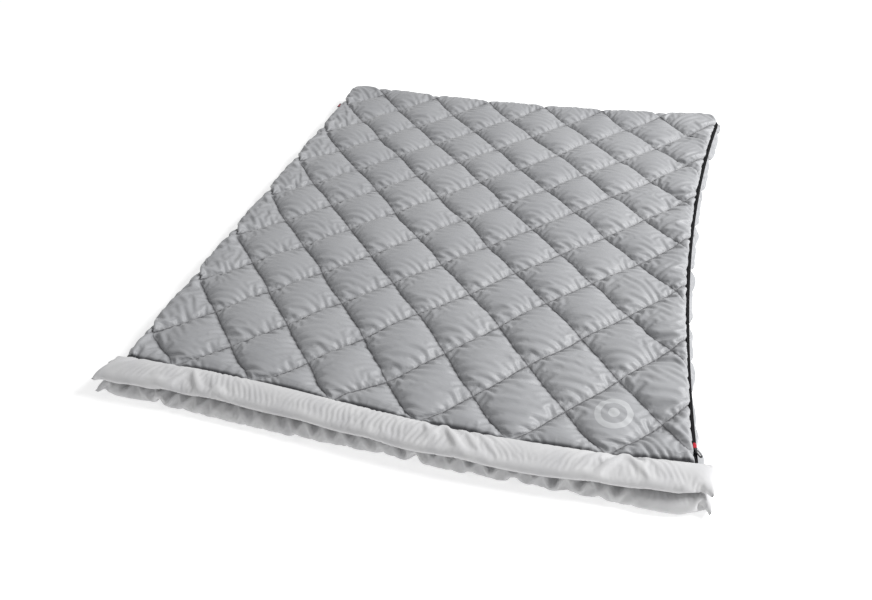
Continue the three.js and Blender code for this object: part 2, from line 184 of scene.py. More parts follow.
def noise(x, y, scale, seed):
    """Smooth noise from -1 to 1 with bumps about as wide as scale."""
    values = np.random.default_rng(seed).uniform(-1, 1, (NOISE_SIZE, NOISE_SIZE))
    cx, cy = np.asarray(x) / scale, np.asarray(y) / scale
    ix, iy = np.floor(cx).astype(int), np.floor(cy).astype(int)
    tx, ty = cx - ix, cy - iy
    tx, ty = tx * tx * (3 - 2 * tx), ty * ty * (3 - 2 * ty)

    def at(a, b):
        return values[(ix + a) % NOISE_SIZE, (iy + b) % NOISE_SIZE]

    low = at(0, 0) * (1 - tx) + at(1, 0) * tx
    high = at(0, 1) * (1 - tx) + at(1, 1) * tx
    return low * (1 - ty) + high * ty


# ---- cloth ----


class Cloth:
    """A grid of cloth points, rows by columns, that keeps the lengths between its neighbours."""

    BEND = 0.05
    SLOW = 0.92  # how much of its speed the cloth keeps each step
    SOFT = 0.004  # how far the cloth sinks into the batting before it pushes back in full

    def __init__(self, place, batting, flat, kept, free, side, fold=0.013):
        """place is where the points start, batting the surface under them and flat their place in
        the flat cut, all [axis, row, column]. Only kept points are cloth, only free ones move.
        side is 1 where the grid's normals point out of the batting, else -1. No fold is much
        shorter than fold."""
        self.p = np.ascontiguousarray(batting, np.float32)
        self.batting = self.p.copy()
        self.side = side
        self.out = self.normals()
        self.p = np.ascontiguousarray(place, np.float32)
        self.free = (free & kept).astype(np.float32)
        self.kept = kept
        self.links = []
        for down, right, stiff in ((0, 1, 1), (1, 0, 1), (1, 1, 0.7), (1, -1, 0.7)):
            for odd in (0, 1):
                self.link(flat, down, right, odd, 2, stiff)
        wide = max(3, round(fold / abs(float(flat[0, 0, 1] - flat[0, 0, 0]))))
        for down, right in ((0, 2), (2, 0), (0, wide), (wide, 0)):
            self.link(flat, down, right, 0, 1, self.BEND)

    def link(self, flat, down, right, first, step, stiff):
        """Ties points so many rows and columns apart, from row or column first in steps, at their
        distance in the flat cut."""
        rows, cols = self.kept.shape
        if down:
            a_rows, b_rows = slice(first, rows - down, step), slice(first + down, rows, step)
            a_cols = slice(max(0, -right), cols - max(0, right))
            b_cols = slice(max(0, right), cols + min(0, right))
        else:
            a_rows = b_rows = slice(0, rows)
            a_cols, b_cols = slice(first, cols - right, step), slice(first + right, cols, step)
        a = (slice(None), a_rows, a_cols)
        b = (slice(None), b_rows, b_cols)
        rest = np.sqrt(((flat[b] - flat[a]) ** 2).sum(0)).astype(np.float32)
        free_a, free_b = self.free[a[1:]], self.free[b[1:]]
        both = np.maximum(free_a + free_b, 1) / stiff
        on = self.kept[a[1:]] & self.kept[b[1:]]
        self.links.append((a, b, rest, on * free_a / both, on * free_b / both))

    def settle_links(self):
        """Moves tied points until each tie has its length."""
        p = self.p
        for a, b, rest, share_a, share_b in self.links:
            way = p[b] - p[a]
            size = np.sqrt(way[0] ** 2 + way[1] ** 2 + way[2] ** 2) + 1e-9
            way *= 1 - rest / size
            p[a] += way * share_a
            p[b] -= way * share_b

    def normals(self):
        """Unit normals that point out of the batting."""
        along = np.gradient(self.p, axis=2)
        across = np.gradient(self.p, axis=1)
        normal = np.cross(along, across, axis=0) * self.side
        return normal / (np.sqrt((normal**2).sum(0)) + 1e-12)

    def relax(self, steps, sweeps, push, low, high):
        """Settles the cloth on its batting, which pushes it out by push metres a step where it lies
        under the batting's surface and lets it fall back where it lies over it. Each step sweeps
        over the ties so many times."""
        before = self.p.copy()
        for _ in range(steps):
            move = (self.p - before) * self.SLOW
            before = self.p.copy()
            under = ((self.batting - self.p) * self.out).sum(0) / self.SOFT
            move += self.normals() * (push * np.clip(under, -0.5, 1))
            self.p += move * self.free
            for _ in range(sweeps):
                self.settle_links()
            np.maximum(self.p[2], low, out=self.p[2], where=self.free > 0)
            np.minimum(self.p[2], high, out=self.p[2], where=self.free > 0)


# ---- quilted sheets ----

# How a quilted sheet runs from its sewn edge: s is the length of cloth from the edge, r how far
# inside the edge's line it lies and z its height, on a seam and in the middle of a puff.
#   cells       the grid's cells across a diamond
#   edge        where the sheet is sewn, from the zip line
#   turned      how far the flat cut reaches past that, to be turned round the edge
#   hinge_side  how much flatter the side along the hinge is, over what length of cloth
#   hem_z       the height of the seam at the hem; hem_back is how far behind HEM_Y it lies
#   gather      the cut's size over the batting's, across and along the bag
#   push        the batting's push in a step; limits are the cloth's lowest and highest z
#   side        1 where the cloth lies over its batting and -1 where it lies under it
UPPER_SHELL = dict(
    cells=56,
    edge=UPPER_EDGE,
    turned=0.027,
    s=(0, 0.008, 0.018, 0.03, 0.044, 0.062, 0.12),
    seam_r=(0, -0.001, 0.001, 0.008, 0.019, 0.035, 0.093),
    seam_z=(0.0548, 0.061, 0.069, 0.075, 0.076, 0.072, 0.062),
    puff_r=(0, -0.007, -0.009, -0.003, 0.012, 0.035, 0.093),
    puff_z=(0.0548, 0.061, 0.071, 0.081, 0.088, 0.091, 0.092),
    hinge_side=(0.012, 0.06),
    hem_z=0.07,
    hem_back=0.018,
    gather=(1.07, 1.105),
    push=0.00009,
    limits=(0.056, 0.106),
    seed=11,
    side=1,
)
LOWER_SHELL = dict(
    cells=36,
    edge=LOWER_EDGE,
    turned=0.054,
    s=(0, 0.01, 0.022, 0.034, 0.048, 0.064),
    seam_r=(0, 0.0, 0.001, 0.002, 0.004, 0.01),
    seam_z=(0.046, 0.039, 0.029, 0.02, 0.012, 0.008),
    puff_r=(0, -0.005, -0.008, -0.008, -0.002, 0.01),
    puff_z=(0.046, 0.041, 0.031, 0.019, 0.008, 0.002),
    hinge_side=(0.01, 0.064),
    hem_z=0.006,
    hem_back=0.0,
    gather=(1.06, 1.09),
    push=0.00007,
    limits=(0.0006, 0.048),
    seed=23,
    side=-1,
)
LINER = dict(
    cells=30,
    turned=0.0,
    s=(0, 0.02, 0.055, 0.08),
    seam_r=(0, 0.02, 0.055, 0.08),
    puff_r=(0, 0.02, 0.055, 0.08),
    hem_back=0.0,
    gather=(1.02, 1.03),
    push=0.00008,
)
UPPER_LINER = dict(
    LINER,
    edge=UPPER_EDGE - 0.002,
    seam_z=(0.0545, 0.0555, 0.057, 0.0585),
    puff_z=(0.0545, 0.0543, 0.0543, 0.0525),
    hem_z=0.0545,
    limits=(0.0512, 0.0588),
    seed=37,
    side=-1,
)
LOWER_LINER = dict(
    LINER,
    edge=0.007,
    seam_z=(0.0455, 0.044, 0.042, 0.04),
    puff_z=(0.0455, 0.0457, 0.0457, 0.0475),
    hem_z=0.0455,
    limits=(0.036, 0.0488),
    seed=41,
    side=1,
)
SEAM_WOBBLE = (0.0075, 0.11)  # how far the seams stray, and over what width
SEAM_JITTER = (0.0012, 0.021)
EDGE_WINDOW = 0.05  # the seams stray less where they are nearer an edge than this
DOME_RISE = 0.035  # how far behind the hem the puffs have their full height
HEM_DROP = 0.009  # how fast the sheet leaves the height of the hem's seam
HEM_BACK_FADE = 0.08
PUFF_UNEVEN = 0.05  # the share by which puffs differ in height
QUILT_SETTLING = (180, 5)  # steps and sweeps

FOLD_HEIGHT = 0.0042
FOLD_WIDTH = 0.12
FOLDS = ((1.0, 1.3, 4.4, 8), (0.6, 2.0, 8.0, 10))  # (share, fineness in x, fineness in y, seed)


def fraction(x):
    """How far x is from the nearest whole number."""
    return np.abs(x - np.round(x))


def grid_over(line, pitch):
    """The rows and columns of a grid that covers an outline. A seam crossing is at 0, 0."""
    low = np.floor((line[:, 0].min() - FIRST[0]) / pitch[0])
    cols = int((line[:, 0].max() - FIRST[0]) / pitch[0] + 2 - low)
    rows = int((line[:, 1].max() - FIRST[1]) / pitch[1] + 2)
    row, col = np.mgrid[0:rows, 0:cols]
    return row, col + int(low)


def from_edge(x, y, line, normal):
    """How far inside an outline each point lies, and the way out of it there."""
    at = nearest(np.stack([x.ravel(), y.ravel()], 1), line)
    way = normal[at].reshape(*x.shape, 2)
    foot = line[at].reshape(*x.shape, 2)
    return (foot[..., 0] - x) * way[..., 0] + (foot[..., 1] - y) * way[..., 1], way


def domes(u, v, from_hem):
    """The shape of the puffs, from 0 on the seams to 1 in the middle of a diamond."""
    dome = np.sin(np.pi * fraction(u)) * np.sin(np.pi * fraction(v))
    return np.clip(dome, 0, 1) ** 0.5 * smooth_step(from_hem, 0, DOME_RISE) ** 0.5


def seam_wander(x, y, s, dome, from_hem, seed):
    """How far the seams stray from straight rows, in x and in y."""
    window = smooth_step(s, 0, EDGE_WINDOW) * smooth_step(from_hem, 0, EDGE_WINDOW)
    near_seam = SEAM_JITTER[0] * (1 - smooth_step(dome, 0, 0.6))
    wander = []
    for k in (0, 1):
        stray = noise(x, y, SEAM_WOBBLE[1], seed + 2 + k) * SEAM_WOBBLE[0]
        stray = stray + noise(x, y, SEAM_JITTER[1], seed + 4 + k) * near_seam
        wander.append(stray * window)
    return wander


def folded_out(spec, s, dome, at_hinge):
    """How far out each point moves in plan as the sheet is folded round its edge."""
    r = np.interp(s, spec["s"], spec["seam_r"])
    r += (np.interp(s, spec["s"], spec["puff_r"]) - r) * dome
    if spec["turned"] > 0:
        flatter, deep = spec["hinge_side"]
        r += np.where(at_hinge, flatter * np.sin(np.pi * np.clip(s / deep, 0, 1)), 0)
    return np.where(s >= spec["s"][-1], 0, s - spec["turned"] - r)


def heights(spec, s, dome, puff, from_hem):
    """The batting's height under each point."""
    z = np.interp(s, spec["s"], spec["seam_z"])
    hem_z = z + (spec["hem_z"] - z) * smooth_step(s, 0, spec["s"][-1])
    z += (hem_z - z) * np.exp(-from_hem / HEM_DROP)
    return z + (np.interp(s, spec["s"], spec["puff_z"]) - z) * dome * (1 + PUFF_UNEVEN * puff)


def puff_folds(x, y, u, v, puff, seed):
    """Each puff's folds, which bend down to its right, where they are deepest."""
    off_u, off_v = u - np.floor(u) - 0.5, v - np.floor(v) - 0.5
    right, back = (off_u + off_v) * PITCH[0] / 2, (off_u - off_v) * PITCH[1] / 2
    bend = (1.6 + 0.8 * puff) * np.maximum(right + 0.05, 0) ** 2
    bend = bend + 0.05 * noise(x, y, FOLD_WIDTH, seed + 9)
    fold = 0
    for share, fine_x, fine_y, own_seed in FOLDS:
        fold = fold + share * noise(x * fine_x, (y + bend) * fine_y, FOLD_WIDTH, seed + own_seed)
    return fold * (0.3 + 0.8 * smooth_step(right - 0.6 * back, -0.09, 0.09))


def quilt(spec):
    """Makes and settles one quilted sheet. Returns its points, faces and UVs."""
    cells, seed, side = spec["cells"], spec["seed"], spec["side"]
    line, normal = quilt_outline(spec["edge"])
    line = line + normal * spec["turned"]
    pitch = PITCH / cells
    row, col = grid_over(line, pitch)
    x = FIRST[0] + col * pitch[0]
    y = FIRST[1] + row * pitch[1]
    s, way = from_edge(x, y, line, normal)
    kept = s > -0.1 * pitch[0]
    faces = triangles(kept, row, col, cells)
    rim = edge_points(faces, kept.shape)
    sewn = rim & (row > 0)
    x = np.where(sewn, x + way[..., 0] * s, x)
    y = np.where(sewn, y + way[..., 1] * s, y)
    s = np.where(sewn, 0, s)
    from_hem = y - HEM_Y
    # where each point is in its diamond
    u, v = (col + row) / cells, (col - row) / cells
    on_seam = ((col + row) % cells == 0) | ((col - row) % cells == 0)
    dome = domes(u, v, from_hem)
    puff = noise(np.floor(u) * 7.3, np.floor(v) * 5.1, 1.0, seed + 1)
    wander = seam_wander(x, y, s, dome, from_hem, seed)
    x = x + wander[0]
    y = y + wander[1] + spec["hem_back"] * (1 - smooth_step(from_hem, 0, HEM_BACK_FADE))
    out = folded_out(spec, s, dome, way[..., 0] < -0.7)
    z = heights(spec, s, dome, puff, from_hem)
    plan_x = x + way[..., 0] * out
    batting = np.stack([plan_x, bowed(plan_x, y + way[..., 1] * out), z])
    place = batting.copy()
    fold = puff_folds(x, y, u, v, puff, seed)
    place[2] += np.where(on_seam, 0, fold * FOLD_HEIGHT * dome * side)
    flat = np.stack([x * spec["gather"][0], bowed(x, y) * spec["gather"][1]])
    cloth = Cloth(place, batting, flat, kept, ~(on_seam | rim), side)
    low, high = spec["limits"]
    if side > 0:
        # inside its edge the sheet hardly sinks under its seams
        low = np.where(s > 0.03, np.maximum(low, spec["seam_z"][-1] - 0.0008), low)
    cloth.relax(*QUILT_SETTLING, spec["push"] * (1 + 0.25 * puff), low, high)
    uv = np.stack([col * pitch[0], row * pitch[1]], -1)
    return cloth.p, faces, uv


# The head hems. A section goes from the seam over the top, round the front and back under, as
# (how far in front of the hem seam, height).
#   middle  the height at which the ends close
#   reach   the share of the section's depth at places across the bag, and tip at the very ends
#   gather  the cut's size over the batting's, across the bag and round the hem
#   ease    how unevenly the cloth is spread across the bag
#   slack   from where to where across the bag there is more cloth still, and its share
#   lift    how far the hem's underside lifts off what it lies on, in places
#   fold    the height, width and slant of the folds that the cloth starts with
#   least   about the length of the shortest fold; settling is the steps and sweeps
UPPER_HEM = dict(
    section=(
        (-0.0177, 0.07), (-0.012, 0.081), (0.003, 0.09), (0.02, 0.0935), (0.04, 0.091),
        (0.066, 0.08), (0.079, 0.064), (0.07, 0.055), (0.045, 0.0545), (0.0003, 0.0545),
    ),
    middle=0.066,
    reach=((-0.838, 1.12), (-0.7, 1.04), (-0.4, 1.0), (0.838, 1.0)),
    gather=(1.045, 1.015),
    ease=0.008,
    slack=(0.0, 0.5, 0.0),
    lift=0.012,
    fold=(0.008, 0.05, 0.9),
    least=0.026,
    tip=0.98,
    settling=(150, 6),
    push=0.00012,
    limits=(0.0535, 0.104),
    seed=53,
)
LOWER_HEM = dict(
    section=(
        (0.0003, 0.0455), (0.03, 0.0475), (0.062, 0.047), (0.085, 0.038),
        (0.0945, 0.023), (0.09, 0.007), (0.065, 0.0006), (0.0003, 0.0006),
    ),
    middle=0.022,
    reach=(
        (-0.838, 0.98), (-0.7, 0.86), (-0.45, 1.0), (-0.24, 0.98),
        (0.05, 0.72), (0.45, 0.72), (0.6, 0.86), (0.75, 1.08),
    ),
    gather=(1.11, 1.02),
    ease=0.001,
    slack=(0.25, 0.74, 0.075),
    lift=0.0,
    fold=(0.011, 0.034, 0.9),
    least=0.022,
    tip=0.92,
    settling=(150, 6),
    push=0.00012,
    limits=(0.0006, 0.0515),
    seed=67,
)
HEM_CELL = 0.0039
HEM_ENDS = (-0.838, 0.838)
CORNER_CELLS = 11  # the part of a hem that stands out past the side seam
END_ROUND = 0.015  # how far from its end a hem starts to close
BACK_ROWS = 6  # the rows that close a hem's corner behind
BACK_BULGE = 0.006


def rounded(points, turns=3):
    """A line with its corners cut away."""
    points = np.array(points, float)
    for _ in range(turns):
        a, b = points[:-1], points[1:]
        cut = np.stack([a * 0.75 + b * 0.25, a * 0.25 + b * 0.75], 1).reshape(-1, points.shape[1])
        points = np.concatenate([points[:1], cut, points[-1:]])
    return points


def spaced(points, count):
    """The same line as count points at even lengths along it, and its length."""
    steps = np.linalg.norm(np.diff(points, axis=0), axis=1)
    along = np.concatenate([[0], np.cumsum(steps)])
    at = np.linspace(0, along[-1], count)
    return np.stack([np.interp(at, along, points[:, k]) for k in range(points.shape[1])], 1), along[-1]


def closing(along, first, last):
    """How far past the start of a closing end each point is, as a share, and how open there."""
    past = np.maximum(np.maximum(first + END_ROUND - along, along - last + END_ROUND), 0) / END_ROUND
    return past, np.sqrt(np.clip(1 - past**2, 0, 1))


def tube_grid(section, along):
    """A stuffed tube's grid from its section: place along it, depth, z and place round it."""
    line = rounded(section)
    around = round(spaced(line, 2)[1] / HEM_CELL)
    section, girth = spaced(line, around + 1)
    along, depth = np.meshgrid(along, section[:, 0])
    z = np.repeat(section[:, 1:], along.shape[1], 1)
    arc = np.repeat(np.linspace(0, girth, around + 1)[:, None], along.shape[1], 1)
    return along, depth, z, arc


def settled_tube(spec, batting, flat, past, from_seam, fold, side):
    """Settles a stuffed tube's cloth, which starts with folds. Returns its points."""
    free = (from_seam > 1e-6) & (past < 1)
    kept = np.ones(free.shape, bool)
    cloth = Cloth(batting, batting, flat, kept, free, side, spec["least"])
    cloth.p += (cloth.out * fold).astype(np.float32)
    cloth.relax(*spec["settling"], spec["push"], *spec["limits"])
    return cloth.p


def hem_batting(spec, x, front, z, opened):
    """The batting's surface: its ends close to a line, and the left one slants back."""
    seed = spec["seed"]
    z = spec["middle"] + (z - spec["middle"]) * opened
    reach = np.interp(x, *np.transpose(spec["reach"])) * (1 + 0.02 * noise(x, 0 * x, 0.11, seed))
    reach *= opened + (1 - opened) * spec["tip"]
    forward = front * np.where(front > 0.001, reach, 1)
    slant = 0.016 * (1 - forward / 0.08) * smooth_step(-x, 0.7, 0.838)
    lift = np.maximum(noise(x, 0 * x, 0.09, seed + 6) + 0.3, 0) * opened
    lift *= smooth_step(forward, 0.02, 0.07)
    z += spec["lift"] * lift * np.where(z < spec["middle"], 1, 0.3)
    return np.stack([x + slant, HEM_Y - forward - head_bow(x + slant), z])


def hem_cut(spec, x, batting):
    """The flat cut: the bag's width across, the batting's own girth round the hem, gathered."""
    seed = spec["seed"]
    ease = noise(x, 0 * x, 0.14, seed + 5) + 0.45 * noise(x, 0 * x, 0.06, seed + 7)
    girth = np.linalg.norm(np.diff(batting, axis=1), axis=0).cumsum(0)
    girth = np.concatenate([0 * girth[:1], girth])
    begins, ends, more = spec["slack"]
    across = x * spec["gather"][0] + ease * spec["ease"] + more * np.clip(x, begins, ends)
    return np.stack([across, girth * spec["gather"][1]])


def hem(spec):
    """Makes and settles one hem from end to end. Returns its points and UVs."""
    left, right = HEM_ENDS
    corner = np.linspace(left, SEAM_X, CORNER_CELLS + 1)
    band = np.linspace(SEAM_X, right, round((right - SEAM_X) / HEM_CELL) + 1)
    x, front, z, arc = tube_grid(spec["section"], np.concatenate([corner, band[1:]]))
    past, opened = closing(x, left, right)
    batting = hem_batting(spec, x, front, z, opened)
    from_seam = np.minimum(arc, arc[-1] - arc)
    size, wide, slant = spec["fold"]
    fold = noise(x - slant * arc, arc * 0.3, wide, spec["seed"] + 1)
    fold += 0.4 * noise(x - slant * arc, arc * 0.5, wide * 0.45, spec["seed"] + 2)
    fold *= size * smooth_step(from_seam, 0, 0.03) * opened
    points = settled_tube(spec, batting, hem_cut(spec, x, batting), past, from_seam, fold, -1)
    return points, np.stack([x, arc], -1)


def closed_behind(points, uv):
    """The same hem with rows that close it behind."""
    share = np.linspace(0, 1, BACK_ROWS + 1)[1:, None]
    rows = points[:, -1:] * (1 - share) + points[:, :1] * share
    rows[1] += BACK_BULGE * np.sin(np.pi * share)
    spread = uv[-1:] + share[..., None] * (points[2, :1] - points[2, -1:])[..., None] * (0, 1)
    return np.concatenate([points, rows], 1), np.concatenate([uv, spread])


DRAFT_TUBE = dict(
    section=(
        (-0.0175, 0.0536), (-0.023, 0.049), (-0.05, 0.0489),
        (-0.059, 0.0512), (-0.052, 0.0536), (-0.0175, 0.0537),
    ),
    middle=0.0514,
    head=0.03,
    gather=1.04,
    fold=(0.0012, 0.03),
    least=0.013,
    settling=(100, 5),
    push=0.00006,
    limits=(0.0488, 0.0538),
    seed=71,
)


def draft_tube(spec):
    """Makes and settles the padded tube behind the side zip."""
    first, last = side_share(HEM_Y + spec["head"]), 1 - CORNER_LEG / SIDE.length - 0.01
    length = (last - first) * SIDE.length
    count = round(length / HEM_CELL) + 1
    path, normal = SIDE.at(np.linspace(first, last, count))
    s, offset, z, arc = tube_grid(spec["section"], np.linspace(0, length, count))
    past, opened = closing(s, 0, length)
    z = spec["middle"] + (z - spec["middle"]) * opened
    batting = np.stack([path[:, 0] + normal[:, 0] * offset, path[:, 1] + normal[:, 1] * offset, z])
    from_seam = np.minimum(arc, arc[-1] - arc)
    size, wide = spec["fold"]
    fold = noise(s, arc, wide, spec["seed"]) * size * opened * smooth_step(from_seam, 0, 0.01)
    flat = np.stack([s * spec["gather"], arc])
    points = settled_tube(spec, batting, flat, past, from_seam, fold, 1)
    return points, np.stack([s, arc], -1)


def cell_corners(grid):
    """The values of a grid at each cell's four corners, in order round it."""
    return grid[:-1, :-1], grid[:-1, 1:], grid[1:, 1:], grid[1:, :-1]


def grid_quads(rows, cols, first=0, last=None, closed=False):
    """The quads of a grid between two of its columns. A closed grid's last row joins its first."""
    number = np.arange(rows * cols).reshape(rows, cols)[:, first:last]
    if closed:
        number = np.concatenate([number, number[:1]])
    return np.stack([corner.ravel() for corner in cell_corners(number)], 1)


def triangles(kept, row, col, cells):
    """The grid's triangles, cut along the way of the nearest seam."""
    rows, cols = kept.shape
    a, b, c, d = cell_corners(np.arange(rows * cols).reshape(rows, cols))
    ka, kb, kc, kd = cell_corners(kept)
    # seams where column - row is whole run from a to c, the others from b to d
    middle_u = (col[:-1, :-1] + row[:-1, :-1] + 1) / cells
    middle_v = (col[:-1, :-1] - row[:-1, :-1]) / cells
    rising = fraction(middle_v) < fraction(middle_u)
    full = ka & kb & kc & kd
    sets = [
        (full & rising, (a, b, c)),
        (full & rising, (a, c, d)),
        (full & ~rising, (a, b, d)),
        (full & ~rising, (b, c, d)),
        (ka & kb & kc & ~kd, (a, b, c)),
        (ka & ~kb & kc & kd, (a, c, d)),
        (ka & kb & ~kc & kd, (a, b, d)),
        (~ka & kb & kc & kd, (b, c, d)),
    ]
    return np.concatenate([np.stack([p[on] for p in corner], 1) for on, corner in sets])


def edge_points(faces, shape):
    """The points on the edge of the cloth."""
    sides = np.concatenate([faces[:, [0, 1]], faces[:, [1, 2]], faces[:, [2, 0]]])
    sides, uses = np.unique(np.sort(sides, 1), axis=0, return_counts=True)
    on = np.zeros(shape[0] * shape[1], bool)
    on[sides[uses == 1].ravel()] = True
    return on.reshape(shape)


def placed(name, data):
    """An object of the scene that shows a mesh, a camera or a lamp."""
    piece = bpy.data.objects.new(name, data)
    bpy.context.scene.collection.objects.link(piece)
    return piece


def mesh_piece(name, points, faces, uv, material, flip=False):
    """A Blender mesh from [row, column] grids and the triangles or quads between them."""
    shape = faces.shape
    used, faces = np.unique(faces, return_inverse=True)
    faces = faces.reshape(shape)
    if flip:
        faces = faces[:, ::-1]
    flat = points.reshape(3, -1).T[used]
    spread = uv.reshape(-1, 2)[used]
    mesh = bpy.data.meshes.new(name)
    mesh.from_pydata(flat.tolist(), [], faces.tolist())
    layer = mesh.uv_layers.new(name="cloth")
    corners = np.empty(len(mesh.loops), np.int32)
    mesh.loops.foreach_get("vertex_index", corners)
    layer.data.foreach_set("uv", spread[corners].astype(np.float32).ravel())
    mesh.polygons.foreach_set("use_smooth", np.ones(len(mesh.polygons), bool))
    mesh.update()
    mesh.materials.append(material)
    return placed(name, mesh)


# ---- materials ----


class Graph:
    """A material's nodes, written as sums. colour shows where nodes can't be read."""

    def __init__(self, name, colour, roughness, **sockets):
        self.material = bpy.data.materials.new(name)
        self.material.use_nodes = True
        self.nodes = self.material.node_tree.nodes
        self.shader = self.nodes["Principled BSDF"]
        self.set("Base Color", (*colour, 1))
        self.set("Roughness", roughness)
        for socket, value in sockets.items():
            self.set(socket.replace("_", " "), value)

    def set(self, socket, value):
        """Puts a number, a colour or another node's output on the shader's own socket."""
        self.put(self.shader.inputs[socket], value)

    def put(self, socket, value):
        if isinstance(value, bpy.types.NodeSocket):
            self.material.node_tree.links.new(value, socket)
        elif value is not None:
            socket.default_value = value

    def node(self, kind, *values, **settings):
        """A new node of a kind, with its settings and what goes into its first sockets."""
        node = self.nodes.new("ShaderNode" + kind)
        for setting, value in settings.items():
            setattr(node, setting, value)
        for socket, value in zip(node.inputs, values):
            self.put(socket, value)
        return node

    def math(self, kind, a, b=None):
        return self.node("Math", a, b, operation=kind).outputs[0]

    def add(self, a, b):
        return self.math("ADD", a, b)

    def less(self, a, b):
        return self.math("SUBTRACT", a, b)

    def times(self, a, b):
        return self.math("MULTIPLY", a, b)

    def ramp(self, x, low, high, bottom=0.0, top=1.0):
        """bottom where x is under low, top where it is over high, smooth between."""
        values = (x, low, high, bottom, top)
        return self.node("MapRange", *values, interpolation_type="SMOOTHSTEP").outputs[0]

    def split(self, vector):
        return self.node("SeparateXYZ", vector).outputs

    def join(self, x, y, z=0.0):
        return self.node("CombineXYZ", x, y, z).outputs[0]

    def cloth(self):
        """The flat cloth's own coordinates, in metres."""
        return self.split(self.node("UVMap", uv_map="cloth").outputs[0])

    def place(self):
        """The piece's own coordinates, in metres."""
        return self.node("TexCoord").outputs["Object"]

    def noise(self, vector, scale, detail=2.0, rough=0.5):
        node = self.node("TexNoise", vector)
        for socket, value in (("Scale", scale), ("Detail", detail), ("Roughness", rough)):
            self.put(node.inputs[socket], value)
        return node.outputs[0]

    def mix(self, share, a, b):
        node = self.node("Mix", data_type="RGBA")
        self.put(node.inputs["Factor"], share)
        for socket, value in (("A", a), ("B", b)):
            put = value if isinstance(value, bpy.types.NodeSocket) else (*value, 1)
            self.put([s for s in node.inputs if s.name == socket and s.type == "RGBA"][0], put)
        return [s for s in node.outputs if s.type == "RGBA"][0]

    def bump(self, height):
        """Relief of a height in metres."""
        node = self.node("Bump")
        for socket, value in (("Strength", 1.0), ("Distance", 1.0), ("Height", height)):
            self.put(node.inputs[socket], value)
        self.set("Normal", node.outputs[0])


def weave(g, a, b, thread):
    """The relief of a plain weave, from -1 to 1, along cloth coordinates a and b."""
    turn = math.pi / thread
    return g.times(g.math("SINE", g.times(a, turn)), g.math("SINE", g.times(b, turn)))


STITCH = 0.0042  # from one stitch of the quilting to the next


def stitches(g, along):
    """1 on the quilting's stitches and 0 between them."""
    return g.ramp(g.math("SINE", g.times(along, 2 * math.pi / STITCH)), -0.2, 0.3)


def seam_lines(g, a, b):
    """How far cloth coordinates a and b are from the nearest quilting seam, and where along it."""
    x, y = g.times(a, 1 / PITCH[0]), g.times(b, 1 / PITCH[1])
    u, v = g.add(x, y), g.less(x, y)
    from_u, from_v = [g.math("ABSOLUTE", g.less(w, g.math("ROUND", w))) for w in (u, v)]
    far = g.times(g.math("MINIMUM", from_u, from_v), SEAM_SPACING)
    on_u = g.math("LESS_THAN", from_u, from_v)
    along = g.add(g.times(v, on_u), g.times(u, g.less(1.0, on_u)))
    return far, g.times(along, math.hypot(*PITCH) / 2)


def shell_cloth():
    """Satin polyester: a fine weave, stitched seam lines darkened by painted shade in their grooves and
    beside them, painted shadow along the hem seam, and puckers along the seams.
    """
    g = Graph("shell_cloth", (0.34, 0.345, 0.36), 0.5, Sheen_Weight=0.25, Sheen_Roughness=0.4)
    a, b, _ = g.cloth()
    far, along = seam_lines(g, a, b)
    seam = g.ramp(far, 0.0008, 0.003, 1.0, 0.0)
    wide = g.noise(g.join(a, b), 3.0, 2.0)
    cloth = g.mix(g.ramp(wide, 0.3, 0.7), (0.315, 0.32, 0.333), (0.345, 0.35, 0.362))
    # painted shade: the cloth darkens within 12 mm of each quilting seam, as in the creases beside it
    cloth = g.mix(g.ramp(far, 0.0, 0.012, 0.45, 0.0), cloth, (0.13, 0.13, 0.135))
    # painted shadow: the cloth darkens to near black within 16 mm of the hem seam, in the groove where
    # the shell drops to the hem
    cloth = g.mix(g.ramp(b, 0.004, 0.016, 0.95, 0.0), cloth, (0.02, 0.02, 0.024))
    # the seam line: light stitches of thread, with near-black painted shade of the seam's groove
    # between them
    thread = g.mix(stitches(g, along), (0.045, 0.045, 0.05), (0.16, 0.16, 0.17))
    g.set("Base Color", g.mix(g.times(seam, 0.9), ring_print(g, a, b, cloth), thread))
    near = g.math("EXPONENT", g.times(far, -1 / 0.011))
    ripple = g.noise(g.join(along, far), 85.0, 1.0)
    fold = g.noise(g.join(g.times(a, 14.0), g.times(b, 42.0)), 1.0, 2.0, 0.5)
    height = g.times(g.times(near, ripple), 0.0035)
    height = g.add(height, g.times(fold, 0.0034))
    height = g.add(height, g.times(weave(g, a, b, 0.0011), 0.00002))
    g.bump(g.add(height, g.times(seam, -0.0008)))
    return g.material


RING = dict(centre=(5.0 * PITCH[0], 0.5 * PITCH[1]), outer=0.045, inner=0.031, dot=0.013, edge=0.0008)


def ring_print(g, a, b, cloth):
    """A plain printed ring with a dot in it, on the puff next to the zip's head end."""
    x = g.less(a, RING["centre"][0])
    y = g.less(b, RING["centre"][1])
    far = g.math("SQRT", g.add(g.times(x, x), g.times(y, y)))
    edge = RING["edge"]
    ring = g.times(
        g.ramp(far, RING["inner"] - edge, RING["inner"]),
        g.ramp(far, RING["outer"], RING["outer"] + edge, 1.0, 0.0),
    )
    dot = g.ramp(far, RING["dot"], RING["dot"] + edge, 1.0, 0.0)
    return g.mix(g.times(g.add(ring, dot), 0.7), cloth, (0.52, 0.53, 0.54))


